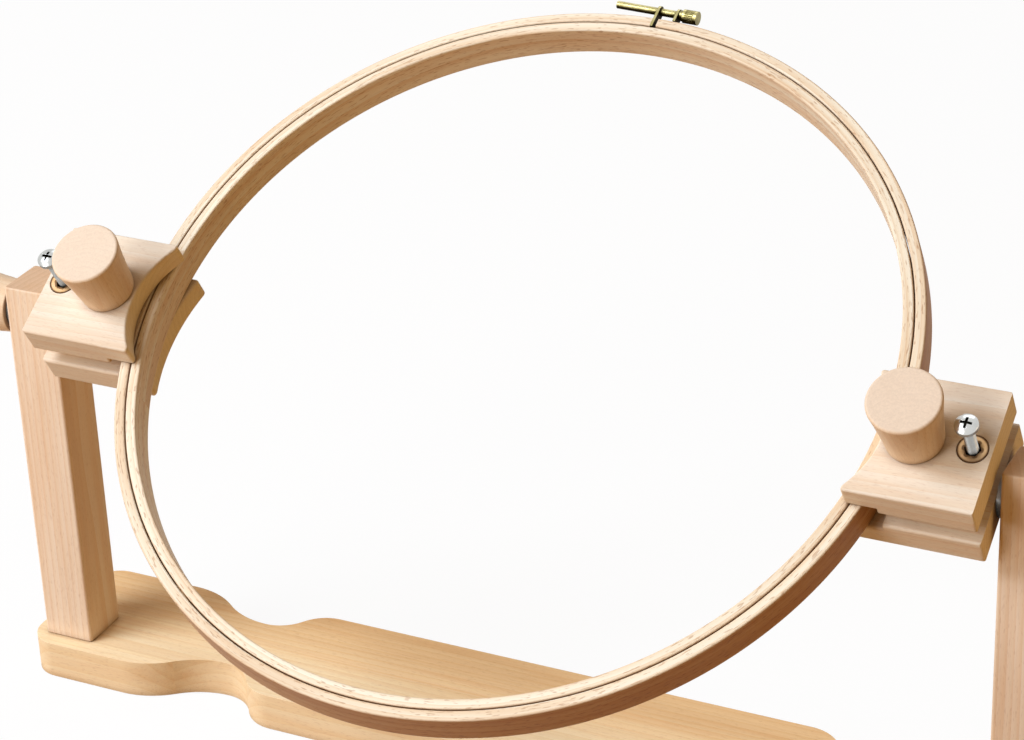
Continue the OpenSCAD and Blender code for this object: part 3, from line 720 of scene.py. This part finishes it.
# a thread this fine shows only as a slight softness, so it is cut shallow; start is along the rim
closing = {"softness": 0.2, "out": 180.2, "start": -5.5, "height": 13.4, "radius": 1.75, "depth": 0.05,
           "pitch": 0.6, "from": -0.3, "to": 31}
closingFrame = (hoopFrame @ Matrix.Rotation(math.radians(ring["closingAngle"]), 4, "Z")
                @ Matrix.Translation((closing["out"] * mm, closing["start"] * mm, closing["height"] * mm))
                @ Matrix.Rotation(-math.pi / 2, 4, "X"))
mesh = threadedCopy("closing_screw", closing["softness"] * mm, closingFrame,
                    lambda z: z > cutSlack * mm, closing)
finishPiece(mesh, "closingScrew", "hoop_screw", bareBrass, ["closing_screw"], lug["smoothAngle"])
print("brass closing done")

insert = {"softness": 0.2, "flangeRadius": 6.3, "rimWidth": 0.9, "rimFade": 0.5, "mouthRadius": 4.3,
          "boreRadius": 3.2, "rimShade": 0.9, "mouthShade": 0.75, "longestEdge": 0.6, "passes": 3}


def insertShade(out):
    # out is mm from the axis: painted shade at the flange's rim and round its mouth
    pastRim = out - insert["flangeRadius"] + insert["rimWidth"]
    if pastRim > 0:
        return insert["rimShade"] * min(1, pastRim / insert["rimFade"])
    return insert["mouthShade"] if out < insert["mouthRadius"] else 0.0


for side, sign in sides.items():
    mesh = softenedCopy("level_insert_" + side, insert["softness"] * mm, metalSegments)
    place = clampFrame @ Matrix.Translation((sign * jaw["levelAxis"] * mm, 0, 0))
    # the flat flange is cut up, so that it has points enough to carry its painted shade
    bm = bmesh.new()
    bm.from_mesh(mesh)
    bm.transform(place.inverted())
    bmesh.ops.triangulate(bm, faces=bm.faces)
    for cutting in range(insert["passes"]):
        flat = [e for e in bm.edges if e.calc_length() > insert["longestEdge"] * mm
                and all(math.hypot(v.co.x, v.co.y) > insert["boreRadius"] * mm for v in e.verts)]
        bmesh.ops.subdivide_edges(bm, edges=flat, cuts=1)
        bmesh.ops.triangulate(bm, faces=bm.faces)
    bm.to_mesh(mesh)
    bm.free()
    paintedShade = mesh.attributes.new("paintedShade", "FLOAT", "POINT")
    for vertex, point in zip(mesh.vertices, paintedShade.data):
        point.value = insertShade(math.hypot(vertex.co.x, vertex.co.y) / mm)
    mesh.transform(place)
    finishPiece(mesh, "levelInsert." + side, side + "_upper", wornBrass, ["level_insert_" + side])
print("inserts done")

# small metal whose CAD solid is already right only needs its finish
smallMetal = {"pivot_sleeve_": bareBrass, "clamp_knob_sleeve_": bareBrass, "pivot_knob_sleeve_": bareBrass,
              "pivot_stud_": zincPlate, "pivot_washers_": zincPlate, "post_screws_": zincPlate}
for side in sides:
    for node, finish in smallMetal.items():
        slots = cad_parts[node + side].data.materials
        slots.clear()
        slots.append(finish)
print("small metal done")

# whiteShare is how much of the floor is plain white; the rest takes the object's shadow
room = {"paper": "#FFFFFF", "bounce": "#A67A40", "whiteShare": 0.92, "floorSize": 8.0, "floorDrop": 0.4,
        "ambient": "#FFC985", "ambientStrength": 0.18}
white = (1, 1, 1, 1)


def seenRays(tree):
    # 1 for what the camera sees directly, in a reflection or through glass
    rays = addNode(tree, "LightPath")
    mirrored = addNode(tree, "Math", {"operation": "MAXIMUM"}, {
        0: rays.outputs["Is Glossy Ray"], 1: rays.outputs["Is Transmission Ray"]})
    return addNode(tree, "Math", {"operation": "MAXIMUM"}, {
        0: rays.outputs["Is Camera Ray"], 1: mirrored.outputs[0]}).outputs[0]


bpy.ops.mesh.primitive_plane_add(size=room["floorSize"], location=(0, 0, -room["floorDrop"] * mm))
floor = bpy.context.active_object
floor.name = "floor"
paper, tree = newMaterial("paleFloor")
seen = seenRays(tree)
floorTone = addNode(tree, "Mix", blend, {
    "Factor": seen, "A": hexToLinear(room["bounce"]), "B": hexToLinear(room["paper"])}).outputs[2]
matt = addNode(tree, "BsdfDiffuse", {}, {"Color": floorTone})
glow = addNode(tree, "Emission", {}, {"Color": white, "Strength": 1.0})
whiteness = addNode(tree, "Math", {"operation": "MULTIPLY"}, {0: seen, 1: room["whiteShare"]}).outputs[0]
mixed = addNode(tree, "MixShader", {}, {0: whiteness, 1: matt.outputs[0], 2: glow.outputs[0]})
addNode(tree, "OutputMaterial", {}, {"Surface": mixed.outputs[0]})
floor.data.materials.append(paper)

world = bpy.data.worlds.new("room")
bpy.context.scene.world = world
world.use_nodes = True
tree = world.node_tree
tree.nodes.clear()
ambient = addNode(tree, "Background", {}, {
    "Color": hexToLinear(room["ambient"]), "Strength": room["ambientStrength"]})
backdrop = addNode(tree, "Background", {}, {"Color": white, "Strength": 1.0})
mixed = addNode(tree, "MixShader", {}, {0: seenRays(tree), 1: ambient.outputs[0], 2: backdrop.outputs[0]})
addNode(tree, "OutputWorld", {}, {"Surface": mixed.outputs[0]})

# the window side is upper left; the right-hand faces stay in warm shade. Metres and watts.
lamps = {
    "keyLight": {"place": (-1.95, -1.56, 2.55), "target": (0, 0, 0.15), "size": (1.4, 1.4),
                 "power": 101, "tone": "#EEF4FF"},
    "frontLight": {"place": (-1.0, -2.2, 1.2), "target": (0, 0, 0.15), "size": (1.0, 1.0),
                   "power": 25, "tone": "#FFFBF8"},
    "wallBounce": {"place": (1.15, 0.1, 0.48), "target": (0.2, 0, 0.18), "size": (0.7, 0.7),
                   "power": 1.4, "tone": "#FFD492"},
    "backLight": {"place": (-0.3, 1.6, 1.9), "target": (0, 0, 0.15), "size": (1.6, 1.0),
                  "power": 8, "tone": "#F6FAFF"}}
for name, look in lamps.items():
    light = bpy.data.lights.new(name, "AREA")
    light.shape = "RECTANGLE"
    light.size, light.size_y = look["size"]
    light.energy = look["power"]
    light.color = hexToLinear(look["tone"])[:3]
    lamp = bpy.data.objects.new(name, light)
    lamp.location = look["place"]
    aim = Vector(look["target"]) - Vector(look["place"])
    lamp.rotation_euler = aim.to_track_quat("-Z", "Y").to_euler()
    bpy.context.scene.collection.objects.link(lamp)

# where the photograph was taken from, with its picture's axes in the object's frame
view = {"place": (0.504011, -0.997423, 0.768725), "right": (0.901305, 0.431603, -0.036974),
        "down": (0.167051, -0.425060, -0.889617), "forward": (-0.399678, 0.795640, -0.455209),
        "focalPixels": 3000, "imageWidth": 1024, "sensor": 36}
camera = bpy.data.objects.new("photoCamera", bpy.data.cameras.new("photoCamera"))
camera.data.sensor_width = view["sensor"]
camera.data.sensor_fit = "HORIZONTAL"
camera.data.lens = view["sensor"] * view["focalPixels"] / view["imageWidth"]
camera.matrix_world = Matrix([
    [view["right"][i], -view["down"][i], -view["forward"][i], view["place"][i]] for i in range(3)
] + [[0, 0, 0, 1]])
bpy.context.scene.collection.objects.link(camera)
bpy.context.scene.camera = camera
bpy.context.scene.view_settings.view_transform = "Standard"
print("floor, light and camera done")
